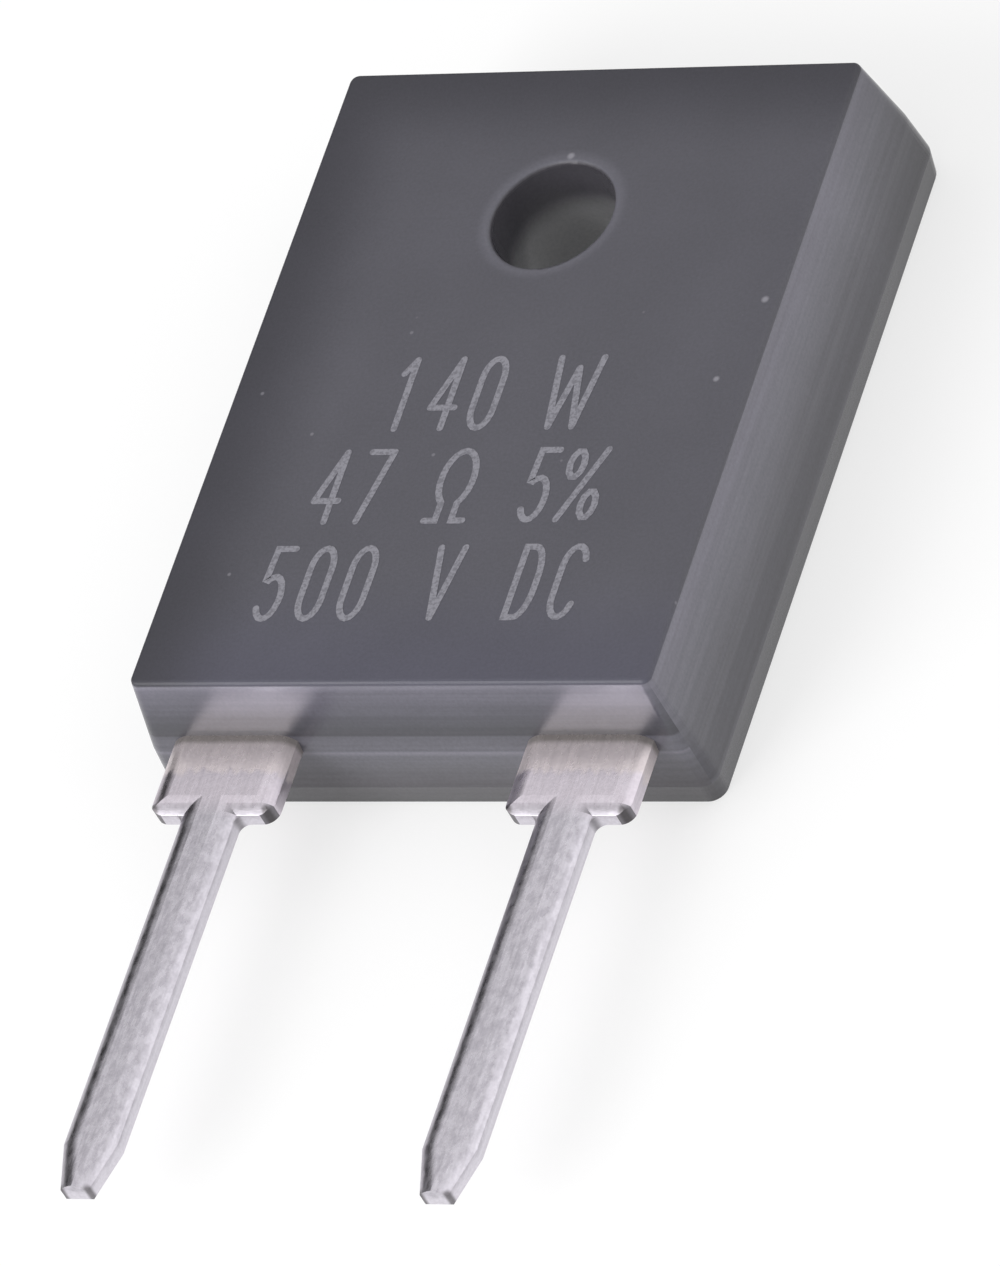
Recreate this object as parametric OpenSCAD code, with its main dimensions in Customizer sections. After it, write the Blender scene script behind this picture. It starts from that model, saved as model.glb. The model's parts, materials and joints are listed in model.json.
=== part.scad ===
// Thick film power resistor in a flat moulded case, with one screw hole and two flat leads.
// It lies on its back. The origin is on the mounting face, on the axis of the screw hole.
// +Z runs out through the hole to the marked face, +Y to the end that has the hole.

/* [Case] */
// Width at the widest level, the edge line just above the mounting face
case_width = 16; // [14.5:0.1:18]
// Length at the widest level
case_length = 21; // [20.5:0.1:24]
// Mounting face to marked face
case_thickness = 4.6; // [4.5:0.1:5.5]
// Height of the edge line, below which the walls turn in again
edge_height = 0.75; // [0.4:0.05:1.2]
// How far the walls turn in between the edge line and the mounting face
seat_inset = 0.1; // [0.05:0.01:0.2]
// Height of the parting line, level with the underside of the leads
parting_height = 2.15; // [2.1:0.05:2.5]
// Draft of the walls between the edge line and the parting line, in degrees
lower_draft = 3.5; // [1:0.5:5]
// Draft of the walls above the parting line, in degrees
upper_draft = 9; // [4:0.5:10]
// Radius of the upright corners round the marked face
face_corner = 0.25; // [0.25:0.05:0.5]
// Radius of the upright corners beside the hole, from the parting line down
hole_corner = 0.6; // [0.3:0.05:1.2]
// Radius of the upright corners beside the leads, from the parting line down
lead_corner = 0.45; // [0.3:0.05:1]
// Rounding round the edge of the marked face
face_edge = 0.12; // [0.05:0.01:0.2]

/* [Screw hole] */
// Diameter of the screw hole
hole_diameter = 3.5; // [3.2:0.1:4]
// Hole axis to the end wall beside it, at the widest level
hole_to_end = 5.35; // [4.5:0.05:6]
// Rounding of the hole's rim on the marked face
hole_rim = 0.12; // [0.05:0.01:0.2]

/* [Leads] */
// Distance between the centre lines of the two leads
lead_pitch = 10.3; // [10.1:0.05:10.9]
// Sheet thickness of the leads
lead_thickness = 0.6; // [0.6:0.05:0.8]
// Width of a lead beyond its shoulder
lead_width = 1.55; // [1.3:0.05:1.7]
// Length of a lead from the end wall to its tip
lead_length = 14; // [10:0.25:20]
// Width of the flat end of a tip
tip_width = 0.8; // [0.5:0.05:1]
// Length over which a tip narrows
tip_taper = 1.4; // [1:0.1:3]
// Width of the shoulder at the end wall
shoulder_width = 3.6; // [3:0.05:3.7]
// Length of the shoulder outside the end wall
shoulder_length = 2.3; // [1.5:0.05:3]
// Radius of the shoulder's outer corners, seen from above
shoulder_corner = 0.4; // [0.1:0.05:0.5]
// Radius in the corner between lead and shoulder
root_radius = 0.3; // [0.1:0.05:0.5]
// Radius of the rounding that stamping leaves along the upper edges
roll_radius = 0.7; // [0.6:0.05:0.9]
// How far in from the sides that rounding starts
roll_reach = 0.5; // [0.2:0.05:0.5]

/* [Lead foot inside the case] */
// Width of the foot that is soldered to the conductor
foot_width = 2; // [1.5:0.05:2.2]
// Length of the flat sole of the foot
foot_length = 1.7; // [1:0.1:2.5]
// Inner radius of the two bends above the foot
bend_radius = 0.3; // [0.2:0.05:0.4]
// Slope of the leg between the bends, in degrees
bend_angle = 50; // [40:1:60]
// How far the full shoulder width runs in behind the end wall
shoulder_hold = 0.7; // [0.5:0.05:0.9]

/* [Resistor element] */
// Length of the ceramic plate
ceramic_length = 11.9; // [11.8:0.1:12.1]
// Thickness of the ceramic plate
ceramic_thickness = 1; // [0.9:0.05:1.1]
// Case wall between the ceramic plate and the lead end
ceramic_cover = 1.2; // [1.1:0.05:1.4]
// Height of each printed layer, film, conductor and glaze
print_height = 0.05; // [0.03:0.01:0.08]
// Bare ceramic beyond the film and the conductors, at the hole end
film_margin = 1; // [0.8:0.1:1.2]
// Bare ceramic beyond the film at the lead end
film_lead_margin = 1.3; // [1:0.1:2]
// Bare ceramic beyond the conductors at the lead end
conductor_lead_margin = 0.5; // [0.4:0.1:0.6]
// Conductor left bare between the film and the solder
solder_margin = 0.03; // [0.02:0.01:0.1]
// Conductor left bare beyond the solder, on the outer side
conductor_margin = 0.05; // [0:0.01:0.1]
// Ceramic left bare outside each conductor
ceramic_margin = 0.2; // [0.1:0.05:0.3]
// Width of the laser cut that trims the film
trim_kerf = 0.12; // [0.08:0.01:0.2]
// Length of the trim cut's first leg, in from the film's edge
trim_rise = 4.2; // [2:0.1:6]
// Length of the trim cut's second leg
trim_run = 2.4; // [1:0.1:3]
// Trim cut's place across the film, from its middle
trim_place = -1.6; // [-2.5:0.1:0]
// Solder under the foot
solder_height = 0.1; // [0.05:0.01:0.15]
// Height of the solder fillet beside the foot
fillet_height = 0.3; // [0.2:0.05:0.4]
// Reach of the solder fillet beside the foot
fillet_reach = 0.22; // [0.1:0.01:0.22]

/* [Hidden] */
$fn = 64;

// Steps round one upright corner of the case, and round the edge of a face
corner_steps = 8;
edge_steps = 3;
// A cutter runs this far past the face that it opens
past = 1;
// Pieces of one lead run this far into each other
lap = 0.02;

// How far the walls have leant in by the parting line, and by the edge of the marked face
lower_inset = (parting_height - edge_height) * tan(lower_draft);
upper_inset = lower_inset + (case_thickness - face_edge - parting_height) * tan(upper_draft);
hole_radius = hole_diameter / 2;

// Places along the leads, from the wall that they come out of
lead_end = hole_to_end - case_length;
exit_wall = lead_end + lower_inset;
shoulder_end = exit_wall - shoulder_length;
lead_tip = exit_wall - lead_length;
hold_end = exit_wall + shoulder_hold;

// How far the tip's sides lean in, and the place where its rounded edges have met the straight ones
tip_angle = atan((lead_width - tip_width) / 2 / tip_taper);
tip_end = lead_tip + tip_taper + roll_reach;

// Height of a lead's upright sides, below the rounding
side_height = lead_thickness - roll_radius + sqrt(roll_radius * roll_radius - roll_reach * roll_reach);

ceramic_end = lead_end + ceramic_cover;
film_top_end = ceramic_end + ceramic_length - film_margin;
film_low_end = ceramic_end + film_lead_margin;
conductor_low_end = ceramic_end + conductor_lead_margin;
print_base = ceramic_thickness;
print_top = print_base + print_height;
foot_base = print_top + solder_height;

// The film ends just short of each foot's solder, and a conductor reaches from there to just past it
solder_reach = foot_width / 2 + fillet_reach;
film_edge = lead_pitch / 2 - solder_reach - solder_margin;
conductor_edge = lead_pitch / 2 + solder_reach + conductor_margin;
ceramic_width = 2 * (conductor_edge + ceramic_margin);

// The leg falls from the straight lead to the foot between two bends of equal radius
bend_drop = parting_height - foot_base;
bend_middle = bend_radius + lead_thickness / 2;
leg_length = (bend_drop - 2 * bend_middle * (1 - cos(bend_angle))) / sin(bend_angle);
leg_run = leg_length * cos(bend_angle);
bend_run = bend_middle * sin(bend_angle);
bend_start = hold_end;
foot_start = bend_start + 2 * bend_run + leg_run;

// Outline of the case at one level, seen from above: pulled in all round, with rounded corners
function corner_arc(cx, cy, radius, start) =
    [for (i = [0 : corner_steps]) let (a = start + 90 * i / corner_steps)
        [cx + radius * cos(a), cy + radius * sin(a)]];

function case_outline(inset, at_hole, at_leads) =
    let (x = case_width / 2 - inset, y_hole = hole_to_end - inset, y_leads = lead_end + inset)
    concat(corner_arc(x - at_hole, y_hole - at_hole, at_hole, 0),
        corner_arc(at_hole - x, y_hole - at_hole, at_hole, 90),
        corner_arc(at_leads - x, y_leads + at_leads, at_leads, 180),
        corner_arc(x - at_leads, y_leads + at_leads, at_leads, 270));

// Levels of the moulded block from the mounting face up: [height, inset, both corner radii]
wall_levels = [
    [0, seat_inset, hole_corner, lead_corner],
    [edge_height, 0, hole_corner, lead_corner],
    [parting_height, lower_inset, hole_corner, lead_corner]];
face_levels = [for (i = [0 : edge_steps])
    let (a = 90 * i / edge_steps, round_in = face_edge * (1 - cos(a)))
    [case_thickness - face_edge * (1 - sin(a)), upper_inset + round_in,
     face_corner - round_in, face_corner - round_in]];
case_levels = concat(wall_levels, face_levels);

// Skin over a stack of outlines that all have the same number of points
module loft(levels) {
    ring = 4 * (corner_steps + 1);
    last = len(levels) - 1;
    points = [for (level = levels)
        for (p = case_outline(level[1], level[2], level[3])) [p[0], p[1], level[0]]];
    sides = [for (k = [0 : last - 1]) for (i = [0 : ring - 1]) let (j = (i + 1) % ring)
        [k * ring + i, (k + 1) * ring + i, (k + 1) * ring + j, k * ring + j]];
    bottom = [for (i = [0 : ring - 1]) i];
    top = [for (i = [ring - 1 : -1 : 0]) last * ring + i];
    polyhedron(points, concat([bottom, top], sides), convexity = 2);
}

// The screw hole is round all the way, with a rounded rim at the marked face
module screw_hole() {
    translate([0, 0, -past])
        cylinder(r = hole_radius, h = case_thickness + 2 * past);
    rotate_extrude()
        difference() {
            translate([0, case_thickness - hole_rim])
                square([hole_radius + hole_rim, hole_rim + past]);
            translate([hole_radius + hole_rim, case_thickness - hole_rim])
                circle(r = hole_rim);
        }
}

// Cross-section of stamped strip: an arc rounds each upper edge and meets the upright side at an angle
module strip_section(width) {
    flat_width = width - 2 * roll_reach;
    translate([-width / 2, 0])
        square([width, side_height]);
    translate([-flat_width / 2, 0])
        square([flat_width, lead_thickness]);
    intersection() {
        translate([-width / 2, 0])
            square([width, lead_thickness]);
        for (side = [-1, 1])
            translate([side * flat_width / 2, lead_thickness - roll_radius])
                circle(r = roll_radius);
    }
}

// Strip of the given width that lies along Y between two places
module strip(width, from, to) {
    translate([0, to, parting_height])
        rotate([90, 0, 0])
            linear_extrude(to - from)
                strip_section(width);
}

// Outline of the shoulder from above, with its two outer corners rounded
module shoulder_outline() {
    corner_x = shoulder_width / 2 - shoulder_corner;
    translate([-shoulder_width / 2, shoulder_end + shoulder_corner])
        square([shoulder_width, hold_end - shoulder_end - shoulder_corner]);
    translate([-corner_x, shoulder_end])
        square([2 * corner_x, shoulder_corner]);
    for (side = [-1, 1])
        translate([side * corner_x, shoulder_end + shoulder_corner])
            circle(r = shoulder_corner);
}

// Wide strip whose one rounded edge runs along a tapered side of the tip
module tapered_side(side) {
    wide = 2 * lead_width;
    translate([side * tip_width / 2, lead_tip, 0])
        rotate([0, 0, -side * tip_angle])
            translate([-side * wide / 2, 0, 0])
                strip(wide, -past, tip_taper + past);
}

// The tip, rounded along its tapered sides too and cut off flat
module tip() {
    intersection() {
        strip(lead_width, lead_tip, tip_end + lap);
        tapered_side(-1);
        tapered_side(1);
    }
}

// Small web that rounds the corner between lead and shoulder, and runs a little into both
module root_fillet() {
    reach = root_radius + lap;
    translate([lead_width / 2 - lap, shoulder_end - root_radius, parting_height])
        linear_extrude(side_height)
            difference() {
                square(reach);
                translate([reach, 0])
                    circle(r = root_radius);
            }
}

// The end edge of the shoulder is rounded like its sides, so a strip that lies across cuts it out
module shoulder() {
    intersection() {
        strip(shoulder_width, shoulder_end, hold_end);
        translate([0, 0, parting_height])
            linear_extrude(lead_thickness)
                shoulder_outline();
        translate([-shoulder_width / 2, hold_end, parting_height])
            rotate([90, 0, 90])
                linear_extrude(shoulder_width)
                    strip_section(2 * (hold_end - shoulder_end));
    }
}

// A bend seen from the side: part of a ring about the given centre
module bend(centre, start, turn) {
    outer = bend_radius + lead_thickness;
    reach = 2 * outer;
    translate(centre)
        intersection() {
            difference() {
                circle(r = outer);
                circle(r = bend_radius);
            }
            polygon([[0, 0], [reach * cos(start), reach * sin(start)],
                [reach * cos(start + turn), reach * sin(start + turn)]]);
        }
}

// The formed foot from its side: a tail in the shoulder, a bend down, the leg, a bend back and the sole
module foot_side() {
    translate([bend_start - shoulder_hold / 2, parting_height])
        square([shoulder_hold / 2, lead_thickness]);
    bend(centre = [bend_start, parting_height - bend_radius], start = 90 - bend_angle, turn = bend_angle);
    translate([bend_start + bend_middle * sin(bend_angle),
            parting_height + lead_thickness / 2 - bend_middle * (1 - cos(bend_angle))])
        rotate(-bend_angle)
            translate([-lap, -lead_thickness / 2])
                square([leg_length + 2 * lap, lead_thickness]);
    bend(centre = [foot_start, foot_base + lead_thickness + bend_radius], start = 270 - bend_angle,
        turn = bend_angle);
    translate([foot_start, foot_base])
        square([foot_length, lead_thickness]);
}

module foot() {
    translate([-foot_width / 2, 0, 0])
        rotate([90, 0, 90])
            linear_extrude(foot_width)
                foot_side();
}

// One lead about its own centre line, stamped and formed from a single strip
module lead() {
    tip();
    strip(lead_width, tip_end, shoulder_end + roll_reach);
    shoulder();
    root_fillet();
    mirror([1, 0, 0])
        root_fillet();
    foot();
}

// Solder that wets the sole of the foot and stands up round it as a fillet
module solder_joint() {
    wide = 2 * solder_reach;
    difference() {
        hull() {
            translate([-wide / 2, foot_start - fillet_reach, print_top])
                cube([wide, foot_length + 2 * fillet_reach, solder_height]);
            translate([-foot_width / 2, foot_start, print_top])
                cube([foot_width, foot_length, fillet_height]);
        }
        foot();
    }
}

module at_side(side) {
    translate([side * lead_pitch / 2, 0, 0])
        children();
}

// Path of the laser cut, seen from above: up from the film's end, then across
module trim_outline() {
    translate([trim_place, film_low_end])
        square([trim_kerf, trim_rise]);
    translate([trim_place, film_low_end + trim_rise - trim_kerf])
        square([trim_run, trim_kerf]);
}

module film_area() {
    translate([-film_edge, film_low_end])
        square([2 * film_edge, film_top_end - film_low_end]);
}

module conductor_block(side) {
    translate([side > 0 ? film_edge : -conductor_edge, conductor_low_end, print_base])
        cube([conductor_edge - film_edge, film_top_end - conductor_low_end, print_height]);
}

module ceramic_block() {
    translate([-ceramic_width / 2, ceramic_end, 0])
        cube([ceramic_width, ceramic_length, ceramic_thickness]);
}

// Everything that the moulding is cast round
module element_and_leads() {
    ceramic_block();
    translate([0, 0, print_base])
        linear_extrude(2 * print_height)
            film_area();
    for (side = [-1, 1]) {
        conductor_block(side);
        at_side(side) {
            solder_joint();
            lead();
        }
    }
}

module case() {
    color("#3a3a40")
        difference() {
            loft(case_levels);
            screw_hole();
            element_and_leads();
            translate([-ceramic_width / 2, ceramic_end, -past])
                cube([ceramic_width, ceramic_length, past + ceramic_thickness / 2]);
        }
}

module ceramic_plate() {
    color("#f2efe8")
        ceramic_block();
}

module resistive_film() {
    color("#2b2a2c")
        translate([0, 0, print_base])
            linear_extrude(print_height)
                difference() {
                    film_area();
                    trim_outline();
                }
}

module conductor(side) {
    color("#c9c6bd")
        conductor_block(side);
}

// The glaze lies over the film and fills the trim cut
module overglaze() {
    color("#3f5a46") {
        translate([0, 0, print_top])
            linear_extrude(print_height)
                film_area();
        translate([0, 0, print_base])
            linear_extrude(2 * print_height)
                intersection() {
                    film_area();
                    trim_outline();
                }
    }
}

module solder(side) {
    color("#b4b6ba")
        at_side(side)
            solder_joint();
}

module tinned_lead(side) {
    color("#c8c4c8")
        at_side(side)
            lead();
}

case();
ceramic_plate();
resistive_film();
conductor(-1);  // conductor_left
conductor(1);  // conductor_right
overglaze();
solder(-1);  // solder_left
solder(1);  // solder_right
tinned_lead(-1);  // lead_left
tinned_lead(1);  // lead_right
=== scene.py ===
import json
import math
import bmesh
import bpy
from mathutils import Matrix, Vector


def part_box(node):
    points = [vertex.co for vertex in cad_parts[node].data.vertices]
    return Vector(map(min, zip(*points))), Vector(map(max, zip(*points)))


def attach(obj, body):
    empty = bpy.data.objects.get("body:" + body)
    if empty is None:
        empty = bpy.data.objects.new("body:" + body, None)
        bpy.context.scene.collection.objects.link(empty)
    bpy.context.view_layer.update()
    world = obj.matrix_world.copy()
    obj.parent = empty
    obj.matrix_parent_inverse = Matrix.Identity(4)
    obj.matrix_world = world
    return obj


# Thick film power resistor: finishes, marking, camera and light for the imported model.
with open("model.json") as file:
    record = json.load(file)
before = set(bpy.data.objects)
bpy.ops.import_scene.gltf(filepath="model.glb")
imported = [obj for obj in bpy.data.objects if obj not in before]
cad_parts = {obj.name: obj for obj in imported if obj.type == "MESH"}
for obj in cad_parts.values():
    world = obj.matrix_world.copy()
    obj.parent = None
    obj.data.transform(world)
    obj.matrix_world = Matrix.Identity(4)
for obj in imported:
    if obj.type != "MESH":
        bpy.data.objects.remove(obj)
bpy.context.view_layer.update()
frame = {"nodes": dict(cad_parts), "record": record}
cadNodes = frame["nodes"]
scene = bpy.context.scene
scene.view_settings.view_transform = "Standard"
print("frame loaded:", len(cadNodes), "nodes")


def mm(value):
    # a number or a vector in millimetres, in the metres that Blender works in
    return value * 0.001


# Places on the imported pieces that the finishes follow, in mm
caseLow, caseHigh = (corner * 1000 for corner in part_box("case"))
leadLow, leadHigh = (corner * 1000 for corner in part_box("lead_left"))
caseTop, leadTop, leadTip = caseHigh.z, leadHigh.z, leadLow.y
leadMiddle = abs(leadLow.x + leadHigh.x) / 2  # from the middle of the case to a lead's centre line
hole = next(mount for mount in frame["record"]["mounts"] if mount["kind"] == "bore")
holeRadius = hole["dims"]["r_mm"]

# A noise texture stays mostly between the first two values, and makes clear patches between the second two
noiseSpan = (0.3, 0.7)
patchSpan = (0.35, 0.65)
white = (1.0, 1.0, 1.0, 1.0)


def around(middle, spread):
    return middle - spread, middle + spread


def hexToLinear(code):
    # an sRGB hex value, as a colour picker gives it, to the linear colour that a shader takes
    parts = [int(code[i:i + 2], 16) / 255 for i in (1, 3, 5)]
    return tuple(c / 12.92 if c <= 0.04045 else ((c + 0.055) / 1.055) ** 2.4 for c in parts) + (1.0,)


def addNode(tree, kind, inputs=(), **settings):
    # inputs come in order or by name. Each is a number, a vector, a hex colour, a socket, or a node, which
    # gives its first live output.
    node = tree.nodes.new("ShaderNode" + kind)
    for name, value in settings.items():
        setattr(node, name, value)
    if isinstance(inputs, dict):
        pairs = [(node.inputs[name], value) for name, value in inputs.items()]
    else:
        pairs = zip([socket for socket in node.inputs if socket.enabled], inputs)
    for socket, value in pairs:
        if isinstance(value, bpy.types.Node):
            value = next(output for output in value.outputs if output.enabled)
        if isinstance(value, bpy.types.NodeSocket):
            tree.links.new(value, socket)
        else:
            socket.default_value = hexToLinear(value) if isinstance(value, str) else value
    return node


def emptyMaterial(name):
    material = bpy.data.materials.new(name)
    material.use_nodes = True
    material.node_tree.nodes.clear()
    return material, material.node_tree


def startMaterial(name, ior=1.5, metallic=0.0):
    # a Principled material with nothing on it yet, and the object's own coordinates in metres
    material, tree = emptyMaterial(name)
    shader = addNode(tree, "BsdfPrincipled", {"IOR": ior, "Metallic": metallic})
    addNode(tree, "OutputMaterial", [shader])
    place = addNode(tree, "TexCoord").outputs["Object"]
    return material, tree, shader, place


def finishShader(tree, shader, colour, roughness, relief, depth, strength):
    # relief is a height from 0 to 1, and depth is what a height of 1 stands for, in mm
    bump = addNode(tree, "Bump", {"Height": relief, "Distance": mm(depth), "Strength": strength})
    for name, node in (("Base Color", colour), ("Roughness", roughness), ("Normal", bump)):
        tree.links.new(next(output for output in node.outputs if output.enabled), shader.inputs[name])


# Camera
cameraSetup = {
    "azimuth": 41.753, "elevation": 44.588, "roll": -32.429,  # degrees
    "distance": 381.653,  # mm from the aim to the lens
    "aim": (0.0, -6.863, 2.451),  # mm
    "aside": (-0.238, -4.095),  # mm that the camera stands right of and above the aim
    "pixelsPerMm": 38.731,  # at the aim, in a picture of 1000 x 1266
    "longSide": 1266, "sensor": 36.0,  # pixels, mm
    "clip": (0.01, 20.0),  # metres, nearest and farthest that it sees
}


def wayTo(azimuth, elevation):
    # the direction from the resistor in degrees, with azimuth 0 in front of the leads
    a, e = math.radians(azimuth), math.radians(elevation)
    return Vector((math.sin(a) * math.cos(e), -math.cos(a) * math.cos(e), math.sin(e)))


def placeCamera(setup):
    back = wayTo(setup["azimuth"], setup["elevation"])
    level = Vector((0, 0, 1)).cross(back).normalized()
    rise = back.cross(level)
    roll = math.radians(setup["roll"])
    right = math.cos(roll) * level + math.sin(roll) * rise
    up = -math.sin(roll) * level + math.cos(roll) * rise
    aside = setup["aside"]
    spot = Vector(setup["aim"]) + aside[0] * right + aside[1] * up + setup["distance"] * back
    lens = bpy.data.cameras.new("productCamera")
    lens.sensor_width = setup["sensor"]
    lens.lens = setup["pixelsPerMm"] * setup["distance"] * setup["sensor"] / setup["longSide"]
    lens.clip_start, lens.clip_end = setup["clip"]
    camera = bpy.data.objects.new("productCamera", lens)
    turn = Matrix((right, up, back)).transposed().to_4x4()
    camera.matrix_world = Matrix.Translation(mm(spot)) @ turn
    scene.collection.objects.link(camera)
    scene.camera = camera


placeCamera(cameraSetup)
print("camera placed")

# Case: epoxy moulding compound, moulded in a steel tool. The marked face comes off a spark-eroded plate:
# matt and grainy, with painted shade along two edges. The walls come off ground inserts: smoother and a
# little glossy, with painted shade and highlights in bands.
caseLook = {
    # the face's darker edge colour is painted shade along its left edge and its hole end
    "face": "#4d4c54", "rim": "#34333b", "lowEnd": "#4a4956",
    # the face's edge, in mm: in from the case's sides, below its top, and how far to each side it blends
    "edgeInset": 0.45, "edgeDrop": 0.13, "edgeBlend": 0.03,
    "rimWidth": 3.4, "rimCorner": 1.5,  # mm, fade of the painted shade along two sides, and its corner
    "lowEndReach": 4.0,  # mm over which the face turns to its other tone beside the leads
    # painted shade and highlights up the walls: lighter towards the top, darker low, with thin painted
    # highlight lines
    "endWallPaintedShade": ((0.0, "#434245"), (0.9, "#4a484d"), (1.5, "#545359"), (2.0, "#5c5b63"), (2.12, "#6a6872"),
                 (2.2, "#57565e"), (2.68, "#56555d"), (2.74, "#3f3e44"), (3.0, "#404046"), (3.6, "#4f4e57"),
                 (4.3, "#5f5d68"), (4.47, "#706e79")),  # mm up, colour
    "sideWallPaintedShade": ((0.0, "#444348"), (0.7, "#49484d"), (0.76, "#545359"), (0.9, "#434248"), (1.6, "#48474e"),
                  (2.4, "#59585f"), (3.4, "#66656e"), (4.2, "#6b6974"), (4.47, "#706e79")),
    "holeEndFade": (1.0, 5.3, 0.62),  # mm along y where the walls darken, and to what share
    "lineSpacing": 0.16,  # mm; real grinding lines are near 0.03, drawn coarser so that they show
    "lineStretch": 60.0, "lineContrast": 0.1,
    "bore": "#49474d", "boreDeepPaintedLight": "#8e8e90", "boreFade": (3.5, 2.5),  # mm up, from the one to the other; the pale deep part is painted light
    "boreEdge": (0.05, 0.01),  # mm outside the hole's wall, where its tone begins and where it is full
    "ring": "#6a6973", "ringReach": (0.45, 0.11), "ringShare": 0.4,  # painted highlight round the hole's rounded rim
    "cloudSize": 3.2, "cloudContrast": 0.06,
    "grainSize": 0.09,  # mm; real spark erosion is near 0.02, drawn coarser so that it shows
    "grainContrast": 0.07, "grainDepth": 0.02, "wallGrain": 0.12,  # the last: share of it on the walls
    # pale silica grains: mm between cells, radius as part of a cell, and the share of cells with one
    "fleck": "#85838b", "fleckSpacing": 0.95, "fleckSize": 0.07, "fleckedCells": 0.12, "fleckShare": 0.5,
    # pale chips: x, y and radius in mm, and the part of the radius that is fully pale
    "nicks": ((7.13, -2.95, 0.13), (6.51, -5.52, 0.11), (-0.05, 1.94, 0.13)),
    "nickCore": 0.4, "nickShare": 0.9,
    "faceRoughness": 0.55, "wallRoughness": 0.24, "roughnessSpread": 0.03,
}


def mouldedEpoxy(look):
    material, tree, shader, place = startMaterial("mouldedEpoxyCompound", ior=1.55)
    x, y, z = addNode(tree, "SeparateXYZ", [place]).outputs
    edgeLow, edgeHigh = around(caseTop - look["edgeDrop"], look["edgeBlend"])
    onFace = addNode(tree, "MapRange", [z, mm(edgeLow), mm(edgeHigh), 0.0, 1.0])
    # the face, by the distance in from its left edge and its hole end, darkened there by painted shade, and
    # from its lead end
    inset = look["edgeInset"]
    fromLeft = addNode(tree, "Math", [x, mm(caseLow.x + inset)], operation="SUBTRACT")
    fromHoleEnd = addNode(tree, "Math", [mm(caseHigh.y - inset), y], operation="SUBTRACT")
    inward = addNode(tree, "Math", [fromLeft, fromHoleEnd, mm(look["rimCorner"])], operation="SMOOTH_MIN")
    middle = addNode(tree, "MapRange", [inward, 0.0, mm(look["rimWidth"]), 0.0, 1.0],
                     interpolation_type="SMOOTHSTEP")
    leadEdge = caseLow.y + inset
    byLeads = addNode(tree, "MapRange", [y, mm(leadEdge + look["lowEndReach"]), mm(leadEdge), 0.0, 1.0],
                      interpolation_type="SMOOTHSTEP")
    faceTone = addNode(tree, "Mix", [byLeads, look["face"], look["lowEnd"]], data_type="RGBA")
    faceTone = addNode(tree, "Mix", [middle, look["rim"], faceTone], data_type="RGBA")
    # painted shade and highlights in bands up the walls, in the end walls and in the side walls
    level = addNode(tree, "MapRange", [z, 0.0, mm(caseTop), 0.0, 1.0])
    wallTones = []
    for bands in (look["endWallPaintedShade"], look["sideWallPaintedShade"]):
        ramp = addNode(tree, "ValToRGB", [level])
        stops = ramp.color_ramp.elements
        stops[0].position, stops[0].color = 0.0, hexToLinear(bands[0][1])
        stops[1].position, stops[1].color = 1.0, hexToLinear(bands[-1][1])
        for height, colour in bands[1:]:
            stops.new(height / caseTop).color = hexToLinear(colour)
        wallTones.append(ramp)
    # side walls and end walls part at the corners, where both lie as far inside the case's box
    sideways = addNode(tree, "Math", [x], operation="ABSOLUTE")
    fromMiddle = addNode(tree, "Math", [y, mm((caseLow.y + caseHigh.y) / 2)], operation="SUBTRACT")
    endways = addNode(tree, "Math", [fromMiddle], operation="ABSOLUTE")
    beyond = addNode(tree, "Math", [endways, sideways], operation="SUBTRACT")
    longerBy = (caseHigh.y - caseLow.y - caseHigh.x + caseLow.x) / 2
    onSide = addNode(tree, "Math", [beyond, mm(longerBy)], operation="LESS_THAN")
    wallTone = addNode(tree, "Mix", [onSide] + wallTones, data_type="RGBA")
    # faint lines along the walls, left by the grinding of the inserts, and less light at the hole end
    shrink = 1 / look["lineStretch"]
    alongWalls = addNode(tree, "Mapping", {"Vector": place, "Scale": (shrink, shrink, 1.0)})
    toolLines = addNode(tree, "TexNoise", {"Vector": alongWalls, "Scale": 1 / mm(look["lineSpacing"])})
    lineShade = addNode(tree, "MapRange", [toolLines, *noiseSpan, *around(1.0, look["lineContrast"])])
    fadeStart, fadeEnd, fadeTo = look["holeEndFade"]
    endShade = addNode(tree, "MapRange", [y, mm(fadeStart), mm(fadeEnd), 1.0, fadeTo])
    wallShade = addNode(tree, "Math", [lineShade, endShade], operation="MULTIPLY")
    wallTone = addNode(tree, "VectorMath", {0: wallTone, "Scale": wallShade}, operation="SCALE")
    # the bore, out to its rounded rim, with painted light deep in it, and the painted highlight of the ring
    # round it
    flat = addNode(tree, "CombineXYZ", [x, y, 0.0])
    fromAxis = addNode(tree, "VectorMath", [flat], operation="LENGTH")
    boreStart, boreFull, ringStart, ringFull = (
        mm(holeRadius + out) for out in look["boreEdge"] + look["ringReach"])
    inBore = addNode(tree, "MapRange", [fromAxis, boreStart, boreFull, 0.0, 1.0])
    onRing = addNode(tree, "MapRange", [fromAxis, ringStart, ringFull, 0.0, look["ringShare"]],
                     interpolation_type="SMOOTHSTEP")
    fadeHigh, fadeLow = look["boreFade"]
    deep = addNode(tree, "MapRange", [z, mm(fadeHigh), mm(fadeLow), 0.0, 1.0],
                   interpolation_type="SMOOTHSTEP")
    boreTone = addNode(tree, "Mix", [deep, look["bore"], look["boreDeepPaintedLight"]], data_type="RGBA")
    tone = addNode(tree, "Mix", [onFace, wallTone, faceTone], data_type="RGBA")
    tone = addNode(tree, "Mix", [onRing, tone, look["ring"]], data_type="RGBA")
    tone = addNode(tree, "Mix", [inBore, tone, boreTone], data_type="RGBA")
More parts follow.
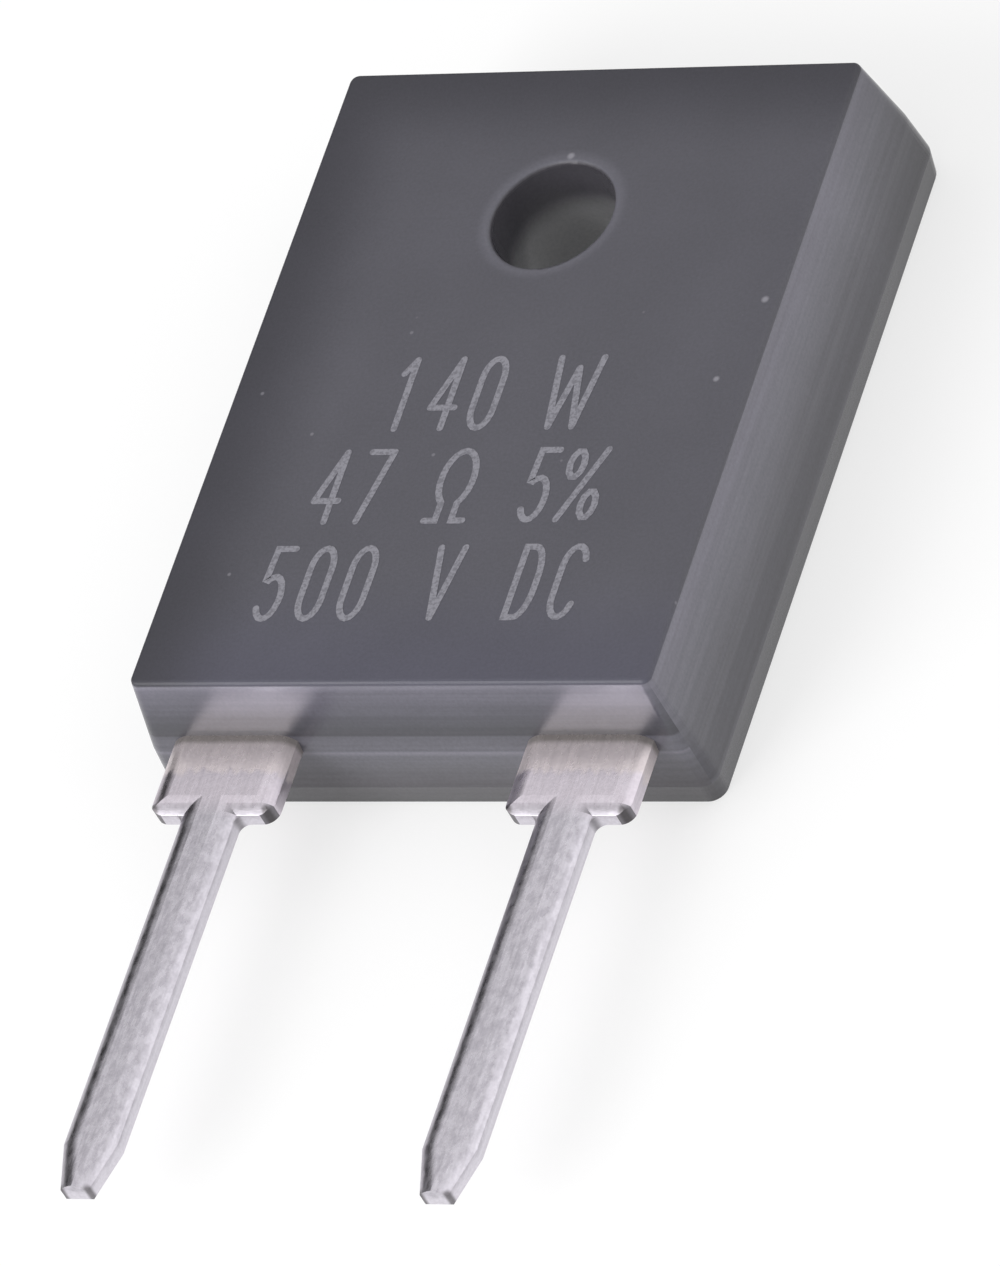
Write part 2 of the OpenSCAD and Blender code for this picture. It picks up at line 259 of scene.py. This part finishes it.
    # slow clouds from the flow of the resin, fine grain from the tool
    clouds = addNode(tree, "TexNoise", {"Vector": place, "Scale": 1 / mm(look["cloudSize"]), "Detail": 4.0})
    grain = addNode(tree, "TexNoise", {"Vector": place, "Scale": 1 / mm(look["grainSize"]), "Detail": 2.0})
    cloudShade = addNode(tree, "MapRange", [clouds, *noiseSpan, *around(1.0, look["cloudContrast"])])
    grainShade = addNode(tree, "MapRange", [grain, *noiseSpan, *around(1.0, look["grainContrast"])])
    shade = addNode(tree, "Math", [cloudShade, grainShade], operation="MULTIPLY")
    tone = addNode(tree, "VectorMath", {0: tone, "Scale": shade}, operation="SCALE")
    # a silica grain shows in a few cells as a pale fleck, and the chips are as pale
    cells = addNode(tree, "TexVoronoi", {"Vector": place, "Scale": 1 / mm(look["fleckSpacing"])})
    fleckSize = look["fleckSize"]
    nearGrain = addNode(tree, "MapRange", [cells, fleckSize, fleckSize / 2, 0.0, look["fleckShare"]])
    cellColour = addNode(tree, "SeparateColor", [cells.outputs["Color"]])
    chosen = addNode(tree, "Math", [cellColour, 1 - look["fleckedCells"]], operation="GREATER_THAN")
    pale = addNode(tree, "Math", [nearGrain, chosen], operation="MULTIPLY")
    for nickX, nickY, radius in look["nicks"]:
        spot = mm(Vector((nickX, nickY, caseTop)))
        core = radius * look["nickCore"]
        reach = addNode(tree, "VectorMath", [place, spot], operation="DISTANCE")
        chip = addNode(tree, "MapRange", [reach, mm(radius), mm(core), 0.0, look["nickShare"]])
        pale = addNode(tree, "Math", [pale, chip], operation="MAXIMUM")
    tone = addNode(tree, "Mix", [pale, tone, look["fleck"]], data_type="RGBA")
    rough = addNode(tree, "MapRange", [onFace, 0.0, 1.0, look["wallRoughness"], look["faceRoughness"]])
    shift = addNode(tree, "MapRange", [clouds, *noiseSpan, *around(0.0, look["roughnessSpread"])])
    rough = addNode(tree, "Math", [rough, shift], operation="ADD")
    grainHere = addNode(tree, "MapRange", [onFace, 0.0, 1.0, look["wallGrain"], 1.0])
    relief = addNode(tree, "Math", [grain, grainHere], operation="MULTIPLY")
    finishShader(tree, shader, tone, rough, relief, depth=look["grainDepth"], strength=0.35)
    return material


# Leads: copper strip, rolled, stamped and dipped in tin. That gives a soft silver with faint draw lines and
# a grainy mottle, duller on the rolled edges, and stained beside the case, where resin has bled over it.
leadLook = {
    "tin": "#cfcbd3", "shade": "#bab6be",
    # mm: how far inside the case's end a lead leaves the wall, and from there to the shoulder's end
    "wayOut": 0.09, "shoulderLength": 2.3,
    "shoulder": "#ddd3dc", "shoulderShare": 0.6,  # cleaner than the thin part
    "shoulderBlend": (-0.2, 0.4),  # mm from the shoulder's end
    # resin on the shoulder, in mm: from the way out to its edge, and how far to each side that blends and
    # wanders
    "bleed": "#dad0d2", "bleedLength": 1.06, "bleedBlend": 0.1, "bleedWander": 0.12,
    "bledMetallic": 0.64,  # the resin hides a third of the metal
    "seam": "#8f8985", "seamReach": (0.2, 0.06), "seamShare": 0.75,  # darker band on the lead along the wall, mm out from it
    "rolled": (0.01, 0.15), "rolledRoughness": 0.12,  # mm below the flat; how much rougher an edge is
    # painted highlight low on the sides: mm below the flat where it begins and is full
    "paintedSideLight": "#d8d4dc", "sideLightDrop": (0.23, 0.4),
    "shearedEnd": "#7d7a7f", "shearedReach": 0.28,  # bare rim of the shoulder's end, mm along the lead
    # painted shade: the dark colour of the spots in the stamped corners of the shoulders and tips
    "paintedCornerShade": "#4b4849", "cornerShadeSize": 0.18, "cornerShadeCore": 0.3, "cornerShadeShare": 0.75,
    "cornerSpots": ((0.9, -0.19), (1.64, 0.1)),  # mm from the lead's middle and from the shoulder's end
    "tipSpot": 0.42,  # mm from the lead's middle
    "drawSpacing": 0.07,  # mm; real draw lines are near 0.01, drawn coarser so that they show
    "drawStretch": 50.0, "drawContrast": 0.05,
    "mottleSize": 0.18, "mottleStretch": 2.0,
    "grainSize": 0.08, "grainContrast": 0.05, "grainDepth": 0.006,
    "roughness": (0.2, 0.31),
}


def dippedTin(look):
    material, tree, shader, place = startMaterial("dippedTinOnCopper", metallic=1.0)
    x, y, z = addNode(tree, "SeparateXYZ", [place]).outputs
    along = addNode(tree, "Mapping", {"Vector": place, "Scale": (1.0, 1 / look["drawStretch"], 1.0)})
    draw = addNode(tree, "TexNoise", {"Vector": along, "Scale": 1 / mm(look["drawSpacing"]), "Detail": 2.0})
    spread = addNode(tree, "Mapping", {"Vector": place, "Scale": (1.0, 1 / look["mottleStretch"], 1.0)})
    mottle = addNode(tree, "TexNoise",
                     {"Vector": spread, "Scale": 1 / mm(look["mottleSize"]), "Detail": 4.0})
    grain = addNode(tree, "TexNoise", {"Vector": place, "Scale": 1 / mm(look["grainSize"]), "Detail": 2.0})
    mottled = addNode(tree, "MapRange", [mottle, *patchSpan, 0.0, 1.0], interpolation_type="SMOOTHSTEP")
    tone = addNode(tree, "Mix", [mottled, look["shade"], look["tin"]], data_type="RGBA")
    # the shoulder, and the rolled upper edges, which are bare and duller across the shoulder's end
    wayOut = caseLow.y + look["wayOut"]
    shoulderEnd = wayOut - look["shoulderLength"]
    blendStart, blendEnd = (mm(shoulderEnd + part) for part in look["shoulderBlend"])
    onShoulder = addNode(tree, "MapRange", [y, blendStart, blendEnd, 0.0, look["shoulderShare"]])
    tone = addNode(tree, "Mix", [onShoulder, tone, look["shoulder"]], data_type="RGBA")
    rollStart, rollFull = (mm(leadTop - drop) for drop in look["rolled"])
    onEdge = addNode(tree, "MapRange", [z, rollStart, rollFull, 0.0, 1.0])
    halfReach = look["shearedReach"] / 2
    nearEnd = addNode(tree, "Math", [y, mm(shoulderEnd + halfReach), mm(halfReach)], operation="COMPARE")
    sheared = addNode(tree, "Math", [onEdge, nearEnd], operation="MULTIPLY")
    tone = addNode(tree, "Mix", [sheared, tone, look["shearedEnd"]], data_type="RGBA")
    # painted highlight: a lighter band low on the sides of the thin part
    sideLightStart, sideLightFull = (mm(leadTop - drop) for drop in look["sideLightDrop"])
    lowOnSide = addNode(tree, "MapRange", [z, sideLightStart, sideLightFull, 0.0, 1.0])
    onThinPart = addNode(tree, "Math", [y, mm(shoulderEnd)], operation="LESS_THAN")
    paintedSideLight = addNode(tree, "Math", [lowOnSide, onThinPart], operation="MULTIPLY")
    tone = addNode(tree, "Mix", [paintedSideLight, tone, look["paintedSideLight"]], data_type="RGBA")
    # resin has bled over the shoulder's inner half, to a wandering edge
    wander = addNode(tree, "MapRange", [mottle, *noiseSpan, *around(0.0, mm(look["bleedWander"]))])
    nearY = addNode(tree, "Math", [y, wander], operation="ADD")
    bleedStart, bleedFull = around(wayOut - look["bleedLength"], look["bleedBlend"])
    bled = addNode(tree, "MapRange", [nearY, mm(bleedStart), mm(bleedFull), 0.0, 1.0])
    tone = addNode(tree, "Mix", [bled, tone, look["bleed"]], data_type="RGBA")
    metallic = addNode(tree, "MapRange", [bled, 0.0, 1.0, 1.0, look["bledMetallic"]])
    tree.links.new(metallic.outputs[0], shader.inputs["Metallic"])
    seamStart, seamFull = (mm(wayOut - reach) for reach in look["seamReach"])
    atSeam = addNode(tree, "MapRange", [y, seamStart, seamFull, 0.0, look["seamShare"]])
    tone = addNode(tree, "Mix", [atSeam, tone, look["seam"]], data_type="RGBA")
    # painted shade: dark spots in the stamped corners of the shoulders and tips, the same on both sides of
    # both leads
    sideways = addNode(tree, "Math", [x], operation="ABSOLUTE")
    fromLead = addNode(tree, "Math", [sideways, mm(leadMiddle)], operation="SUBTRACT")
    offMiddle = addNode(tree, "Math", [fromLead], operation="ABSOLUTE")
    folded = addNode(tree, "CombineXYZ", [offMiddle, y, 0.0])
    spots = [(spotX, shoulderEnd + spotY) for spotX, spotY in look["cornerSpots"]]
    size = mm(look["cornerShadeSize"])
    core = size * look["cornerShadeCore"]
    for spotX, spotY in spots + [(look["tipSpot"], leadTip)]:
        reach = addNode(tree, "VectorMath", [folded, mm(Vector((spotX, spotY, 0)))], operation="DISTANCE")
        darkPatch = addNode(tree, "MapRange", [reach, size, core, 0.0, look["cornerShadeShare"]],
                        interpolation_type="SMOOTHSTEP")
        tone = addNode(tree, "Mix", [darkPatch, tone, look["paintedCornerShade"]], data_type="RGBA")
    drawShade = addNode(tree, "MapRange", [draw, *noiseSpan, *around(1.0, look["drawContrast"])])
    grainShade = addNode(tree, "MapRange", [grain, *noiseSpan, *around(1.0, look["grainContrast"])])
    shade = addNode(tree, "Math", [drawShade, grainShade], operation="MULTIPLY")
    tone = addNode(tree, "VectorMath", {0: tone, "Scale": shade}, operation="SCALE")
    rough = addNode(tree, "MapRange", [mottle, *noiseSpan, *look["roughness"]])
    rough = addNode(tree, "Math", [onEdge, look["rolledRoughness"], rough], operation="MULTIPLY_ADD")
    relief = addNode(tree, "Math", [draw, grain], operation="ADD")
    finishShader(tree, shader, tone, rough, relief, depth=look["grainDepth"], strength=0.3)
    return material


# Ceramic back: alumina, fired and ground flat. Off-white and matt, with fine grinding lines and faint
# smears.
ceramicLook = {
    "body": "#ebe7de", "darkPatch": "#dad4c9", "roughness": (0.47, 0.63),
    "lineSpacing": 0.08,  # mm; real grinding lines are near 0.02, drawn coarser so that they show
    "lineStretch": 40.0, "lineShade": (0.95, 1.03), "lineDepth": 0.01,
    "stainSize": 2.5, "stainSpan": (0.45, 0.75), "stainShare": 0.7,
}


def groundAlumina(look):
    material, tree, shader, place = startMaterial("groundAlumina", ior=1.76)
    across = addNode(tree, "Mapping", {"Vector": place, "Scale": (1 / look["lineStretch"], 1.0, 1.0)})
    lines = addNode(tree, "TexNoise",
                    {"Vector": across, "Scale": 1 / mm(look["lineSpacing"]), "Detail": 2.0})
    stains = addNode(tree, "TexNoise", {"Vector": place, "Scale": 1 / mm(look["stainSize"]), "Detail": 5.0})
    stained = addNode(tree, "MapRange", [stains, *look["stainSpan"], 0.0, look["stainShare"]],
                      interpolation_type="SMOOTHSTEP")
    tone = addNode(tree, "Mix", [stained, look["body"], look["darkPatch"]], data_type="RGBA")
    shade = addNode(tree, "MapRange", [lines, *noiseSpan, *look["lineShade"]])
    tone = addNode(tree, "VectorMath", {0: tone, "Scale": shade}, operation="SCALE")
    rough = addNode(tree, "MapRange", [stains, *noiseSpan, *look["roughness"]])
    finishShader(tree, shader, tone, rough, lines, depth=look["lineDepth"], strength=0.25)
    return material


# Layers inside the case. Each has a speckle of two tones and a relief at its own grain size, in mm.
layerLooks = {
    # ruthenium oxide in glass: matt, near black, speckled
    "firedResistorFilm": {"nodes": ["resistive_film"],
                          "first": "#2d2b2d", "second": "#3b3836",
                          "roughness": (0.56, 0.65), "metallic": 0.0, "ior": 1.7,
                          "grain": 0.05, "depth": 0.008},
    # screen printed: satin silver with the mesh left in it
    "firedSilverFilm": {"nodes": ["conductor_left", "conductor_right"],
                        "first": "#cbc8bf", "second": "#aeaaa0",
                        "roughness": (0.34, 0.43), "metallic": 1.0, "ior": 1.5,
                        "grain": 0.06, "depth": 0.01},
    # fired glass: thin, glossy and slightly uneven
    "greenGlassGlaze": {"nodes": ["overglaze"],
                        "first": "#33513d", "second": "#40644a",
                        "roughness": (0.08, 0.17), "metallic": 0.0, "ior": 1.55,
                        "grain": 0.4, "depth": 0.01},
    # reflowed solder: satin, with small crystals
    "frozenSolder": {"nodes": ["solder_left", "solder_right"],
                     "first": "#b9bbbf", "second": "#9c9ea4",
                     "roughness": (0.24, 0.33), "metallic": 1.0, "ior": 1.5,
                     "grain": 0.18, "depth": 0.01},
}


def firedLayer(name, look):
    material, tree, shader, place = startMaterial(name, ior=look["ior"], metallic=look["metallic"])
    grain = addNode(tree, "TexNoise", {"Vector": place, "Scale": 1 / mm(look["grain"]), "Detail": 3.0})
    speckle = addNode(tree, "MapRange", [grain, *patchSpan, 0.0, 1.0], interpolation_type="SMOOTHSTEP")
    tone = addNode(tree, "Mix", [speckle, look["first"], look["second"]], data_type="RGBA")
    rough = addNode(tree, "MapRange", [grain, *noiseSpan, *look["roughness"]])
    finishShader(tree, shader, tone, rough, grain, depth=look["depth"], strength=0.25)
    return material


def dress(material, names):
    for name in names:
        for slot in cadNodes[name].material_slots:
            slot.link = "OBJECT"
            slot.material = material


dress(mouldedEpoxy(caseLook), ["case"])
dress(dippedTin(leadLook), ["lead_left", "lead_right"])
dress(groundAlumina(ceramicLook), ["ceramic_plate"])
for layerName, layerLook in layerLooks.items():
    dress(firedLayer(layerName, layerLook), layerLook["nodes"])
print("packed nodes dressed")

# Marking: plain ratings in single strokes, as a laser writes them. It foams the compound to a pale grey
# line that stands a hair proud and is dotted where the pulses overlap.
markingLook = {
    "rows": (("140 W", -5.88), ("47 Ω 5%", -8.88), ("500 V DC", -12.0)),  # words, y of their middle in mm
    "height": 2.25, "width": 0.78, "pitch": 1.22, "stroke": 0.19,  # mm, of one sign
    "proud": 0.008, "thickness": 0.012,  # mm
    "levels": 5, "step": 0.0006,  # heights in turn, and mm between them, so that crossings don't flicker
    "ash": "#85848c", "ashDark": "#6d6c74", "roughness": (0.6, 0.8),
    "dotSize": 0.08,  # mm; a pulse is near 0.05
    "dotSpan": (0.35, 0.6), "dotDepth": 0.01,
}
sharpestMitre = 0.45  # keeps the outer corner of a sharp turn from running out to a spike
closedWithin = 0.1  # of half a stroke's width: ends as near as this to each other are one
roundEnd = (30, 60, 90, 120, 150)  # degrees, the points round a stroke's end


def arcPoints(cx, cy, rx, ry, start, end, steps=10):
    turns = [math.radians(start + (end - start) * i / steps) for i in range(steps + 1)]
    return [(cx + rx * math.cos(a), cy + ry * math.sin(a)) for a in turns]


# Strokes of each sign in a box one wide and one high. A stroke that ends where it began is closed.
signStrokes = {
    "0": [arcPoints(0.5, 0.72, 0.4, 0.28, 0, 180) + arcPoints(0.5, 0.28, 0.4, 0.28, 180, 360)
          + [(0.9, 0.72)]],
    "1": [[(0.22, 0.8), (0.55, 1.0)], [(0.55, 1.0), (0.55, 0.0)]],
    "4": [[(0.72, 1.0), (0.08, 0.3)], [(0.08, 0.3), (0.98, 0.3)], [(0.72, 1.0), (0.72, 0.0)]],
    "5": [[(0.86, 1.0), (0.2, 1.0), (0.14, 0.56)] + arcPoints(0.48, 0.3, 0.4, 0.3, 125, -150, 14)],
    "7": [[(0.08, 1.0), (0.92, 1.0)], [(0.92, 1.0), (0.36, 0.0)]],
    "W": [[(-0.3, 1.0), (0.05, 0.0)], [(0.05, 0.0), (0.5, 0.85)], [(0.5, 0.85), (0.95, 0.0)],
          [(0.95, 0.0), (1.3, 1.0)]],
    "V": [[(0.05, 1.0), (0.5, 0.0)], [(0.5, 0.0), (0.95, 1.0)]],
    "D": [[(0.12, 0.0), (0.12, 1.0)] + arcPoints(0.45, 0.6, 0.43, 0.4, 90, 0, 6)
          + arcPoints(0.45, 0.4, 0.43, 0.4, 0, -90, 6) + [(0.12, 0.0)]],
    "C": [arcPoints(0.5, 0.72, 0.4, 0.28, 20, 180, 8) + arcPoints(0.5, 0.28, 0.4, 0.28, 180, 340, 8)],
    "Ω": [[(-0.22, 0.0), (0.2, 0.0), (0.2, 0.1)] + arcPoints(0.5, 0.6, 0.6, 0.4, 240, -60, 18)
          + [(0.8, 0.1), (0.8, 0.0), (1.22, 0.0)]],
    "%": [[(1.1, 1.0), (0.0, 0.0)], arcPoints(0.1, 0.79, 0.26, 0.19, 0, 360),
          arcPoints(1.0, 0.21, 0.26, 0.19, 0, 360)],
}


def strokeSides(points, half, closed):
    # left and right edge of a stroke, mitred at its corners
    last = len(points) - 1
    sides = []
    for i, point in enumerate(points):
        ways = []
        if i or closed:
            ways.append((point - points[i - 1]).normalized())
        if i < last or closed:
            ways.append((points[(i + 1) % len(points)] - point).normalized())
        way = sum(ways, Vector((0, 0))).normalized()
        side = Vector((-way.y, way.x)) * half / max(sharpestMitre, abs(way.dot(ways[0])))
        sides.append((point + side, point - side))
    return sides


def addStroke(mesh, points, half, height):
    closed = (points[0] - points[-1]).length < half * closedWithin
    if closed:
        points = points[:-1]
    sides = strokeSides(points, half, closed)
    corners = [[mesh.verts.new((p.x, p.y, height)) for p in pair] for pair in sides]
    following = corners[1:] + corners[:1] if closed else corners[1:]
    for (a, b), (c, d) in zip(corners, following):
        mesh.faces.new((a, b, d, c))
    if closed:
        return
    turns = [math.radians(angle) for angle in roundEnd]
    for (left, right), inner in ((corners[0], points[1]), (corners[-1], points[-2])):  # round ends
        middle = (left.co + right.co) / 2
        out = (middle - Vector((inner.x, inner.y, height))).normalized()
        side = (left.co - right.co) / 2
        fan = [mesh.verts.new(middle + side * math.cos(a) + out * half * math.sin(a)) for a in turns]
        mesh.faces.new([left] + fan + [right])


def laserMarkedCompound(look):
    material, tree, shader, place = startMaterial("laserMarkedCompound")
    dots = addNode(tree, "TexNoise", {"Vector": place, "Scale": 1 / mm(look["dotSize"]), "Detail": 2.0})
    dotted = addNode(tree, "MapRange", [dots, *look["dotSpan"], 0.0, 1.0], interpolation_type="SMOOTHSTEP")
    tone = addNode(tree, "Mix", [dotted, look["ashDark"], look["ash"]], data_type="RGBA")
    rough = addNode(tree, "MapRange", [dots, *noiseSpan, *look["roughness"]])
    finishShader(tree, shader, tone, rough, dots, depth=look["dotDepth"], strength=0.4)
    return material


def writeMarking(look):
    mesh = bmesh.new()
    count = 0
    for words, middle in look["rows"]:
        start = -((len(words) - 1) * look["pitch"] + look["width"]) / 2
        for i, sign in enumerate(words):
            for stroke in signStrokes.get(sign, []):
                points = [Vector((mm(start + i * look["pitch"] + u * look["width"]),
                                  mm(middle + (v - 0.5) * look["height"]))) for u, v in stroke]
                height = mm(caseTop + look["proud"] + look["step"] * (count % look["levels"]))
                addStroke(mesh, points, mm(look["stroke"]) / 2, height)
                count += 1
    for face in mesh.faces:
        face.normal_update()
        if face.normal.z < 0:
            face.normal_flip()
    data = bpy.data.meshes.new("rating_marking")
    mesh.to_mesh(data)
    mesh.free()
    data.materials.append(laserMarkedCompound(look))
    marking = bpy.data.objects.new("rating_marking", data)
    scene.collection.objects.link(marking)
    body = marking.modifiers.new("thickness", "SOLIDIFY")
    body.thickness, body.offset = mm(look["thickness"]), -1
    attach(marking, "root")


writeMarking(markingLook)
print("marking written")

# Floor, sky and lamps: a white table under a soft even sky, two soft boxes, and two dark things for the
# metal to reflect, a card on the left that fades from black to white and the dim room behind the camera.
floorLook = {"colour": "#fafafa", "size": 1400.0, "below": 0.02, "shadow": 0.38}  # the last: how much shows
skyLook = {"light": 0.74}  # brightness of its light on the resistor; the camera sees it white
lampLooks = (  # place in degrees and mm, size in mm, brightness of its face against white
    {"name": "rightBox", "azimuth": 100, "elevation": 38, "distance": 260, "size": (260, 200),
     "bright": 0.6},
    {"name": "frontBox", "azimuth": -33, "elevation": 30, "distance": 260, "size": (150, 150),
     "bright": 6.3},
)
cardLooks = (  # place and size as above, and shades: part of its height, brightness
    {"name": "fadedCard", "azimuth": 236, "elevation": 20, "distance": 150, "size": (240, 200),
     "shades": ((0.0, 0.03), (0.56, 0.05), (0.66, 0.2), (0.75, 0.48), (0.84, 0.86), (0.97, 1.0))},
    {"name": "dimRoom", "azimuth": 42, "elevation": 45, "distance": 420, "size": (400, 400),
     "shades": ((0.0, 0.05), (1.0, 0.05))},
)
lightAim = Vector((0, -8, 2))  # mm, the spot on the resistor that lamps and cards face


def facing(look):
    way = wayTo(look["azimuth"], look["elevation"])
    turn = way.to_track_quat("Z", "Y").to_matrix().to_4x4()
    return Matrix.Translation(mm(lightAim + way * look["distance"])) @ turn


def addSheet(name, width, depth, material):
    w, d = mm(width) / 2, mm(depth) / 2
    data = bpy.data.meshes.new(name)
    data.from_pydata([(-w, -d, 0), (w, -d, 0), (w, d, 0), (-w, d, 0)], [], [(0, 1, 2, 3)])
    data.materials.append(material)
    sheet = bpy.data.objects.new(name, data)
    scene.collection.objects.link(sheet)
    return sheet


def seenAsBackground(tree):
    # 1 for the camera, in reflections and through glass, and 0 for the light that falls on the object
    path = addNode(tree, "LightPath").outputs
    seen = addNode(tree, "Math", [path["Is Camera Ray"], path["Is Glossy Ray"]], operation="MAXIMUM")
    return addNode(tree, "Math", [seen, path["Is Transmission Ray"]], operation="MAXIMUM")


def layFloor(look):
    material, tree = emptyMaterial("whiteTable")
    share = addNode(tree, "Math", [seenAsBackground(tree), 1 - look["shadow"]], operation="MULTIPLY")
    table = addNode(tree, "BsdfDiffuse", {"Color": look["colour"]})
    glow = addNode(tree, "Emission", {"Color": white, "Strength": 1.0})
    addNode(tree, "OutputMaterial", [addNode(tree, "MixShader", [share, table, glow])])
    floor = addSheet("whiteTable", look["size"], look["size"], material)
    floor.location.z = -mm(look["below"])


def hangSky(look):
    world = bpy.data.worlds.new("softSky")
    world.use_nodes = True
    scene.world = world
    tree = world.node_tree
    tree.nodes.clear()
    strength = addNode(tree, "MapRange", [seenAsBackground(tree), 0.0, 1.0, look["light"], 1.0])
    glow = addNode(tree, "Background", {"Color": white, "Strength": strength})
    addNode(tree, "OutputWorld", [glow])


def hangLamp(look):
    data = bpy.data.lights.new(look["name"], "AREA")
    data.shape = "RECTANGLE"
    data.size, data.size_y = (mm(side) for side in look["size"])
    data.energy = look["bright"] * math.pi * data.size * data.size_y  # the power that gives that brightness
    lamp = bpy.data.objects.new(look["name"], data)
    lamp.matrix_world = facing(look)
    lamp.visible_camera = False
    scene.collection.objects.link(lamp)


def standCard(look):
    material, tree = emptyMaterial(look["name"])
    height = addNode(tree, "SeparateXYZ", [addNode(tree, "TexCoord").outputs["Generated"]]).outputs["Y"]
    ramp = addNode(tree, "ValToRGB", [height])
    stops = ramp.color_ramp.elements
    shades = look["shades"]
    for stop, (part, bright) in zip((stops[0], stops[1]), (shades[0], shades[-1])):
        stop.position, stop.color = part, (bright, bright, bright, 1.0)
    for part, bright in shades[1:-1]:
        stops.new(part).color = (bright, bright, bright, 1.0)
    addNode(tree, "OutputMaterial", [addNode(tree, "Emission", [ramp, 1.0])])
    card = addSheet(look["name"], *look["size"], material)
    card.matrix_world = facing(look)
    card.visible_camera = card.visible_diffuse = card.visible_shadow = False  # only reflections show it


layFloor(floorLook)
hangSky(skyLook)
for lampLook in lampLooks:
    hangLamp(lampLook)
for cardLook in cardLooks:
    standCard(cardLook)
print("floor and light set")
